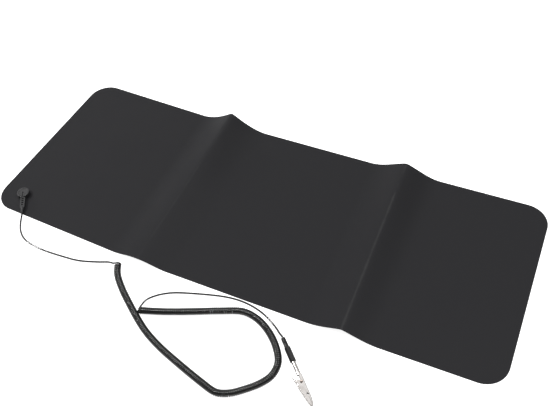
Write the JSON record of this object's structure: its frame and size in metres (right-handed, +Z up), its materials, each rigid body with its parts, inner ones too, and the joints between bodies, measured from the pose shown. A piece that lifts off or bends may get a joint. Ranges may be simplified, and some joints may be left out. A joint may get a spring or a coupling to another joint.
{
  "type": "earthing mat",
  "caption": "Thin rubber earthing mat with two packing creases, a corner snap stud, a curly cord with its snap connector, a banana plug and a sprung crocodile clip.",
  "frame": {"origin": "on the floor, under the middle of the mat's box, measured without the cord, plug and clip", "axes": "+X along the mat's length, away from the end with the snap; +Y across it, away from the side where the cord lies; +Z up"},
  "size_m": [0.675, 0.3766, 0.0232],
  "materials": {
    "conductive_rubber": "matte, fine grained charcoal",
    "moulded_plastic": "satin black",
    "cord_jacket": "semi-gloss black",
    "nickel_plate": "bright nickel",
    "clip_steel": "bright nickel on pressed steel",
    "spring_wire": "bright yellowish wire"
  },
  "bodies": {
    "mat_and_cord": {"mat_sheet": "conductive_rubber", "stud_back_cap": "nickel_plate", "snap_stud": "nickel_plate", "snap_socket": "nickel_plate", "snap_housing": "moulded_plastic", "cord_lead_mat": "cord_jacket", "curly_cord": "cord_jacket", "cord_lead_clip": "cord_jacket", "plug_body": "moulded_plastic", "plug_pin": "nickel_plate", "clip_fixed_jaw": "clip_steel", "clip_rivet": "clip_steel", "clip_spring": "spring_wire"},
    "sprung_jaw": {"clip_moving_jaw": "clip_steel"}
  },
  "joints": [
    {"name": "clip_jaw", "type": "hinge", "parent": "mat_and_cord", "child": "sprung_jaw", "pos_m": [0.14357, -0.19845, 0.004], "axis": [0, 0, -1], "range_deg": [0, 26], "stiffness_Nm_per_rad": 0.05, "springref_deg": -40.11}
  ]
}
